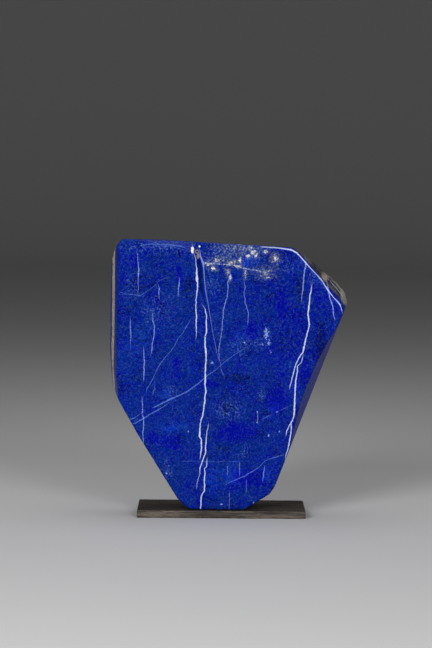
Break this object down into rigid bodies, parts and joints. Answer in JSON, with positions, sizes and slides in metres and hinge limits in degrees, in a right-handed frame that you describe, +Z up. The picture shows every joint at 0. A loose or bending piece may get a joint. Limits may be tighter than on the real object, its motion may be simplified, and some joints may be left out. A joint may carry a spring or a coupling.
{
  "type": "lapis lazuli slab on stand",
  "caption": "Upright free-form slab of polished lapis lazuli, blue with pale veins, standing on a thin flat wooden board.",
  "frame": {"origin": "on the surface it stands on, under the middle of the object", "axes": "+X to the right of the stone's front face, +Y from the front face to the back, +Z up"},
  "size_m": [0.2509, 0.078, 0.2902],
  "materials": {
    "lapis": "polished deep blue lapis lazuli with pale calcite veins and a cream layer on one side",
    "dark_wood": "plain dark grey-brown board, matt, with worn grain"
  },
  "bodies": {
    "root": {"lapis_stone": "lapis", "wood_board": "dark_wood"}
  },
  "joints": []
}
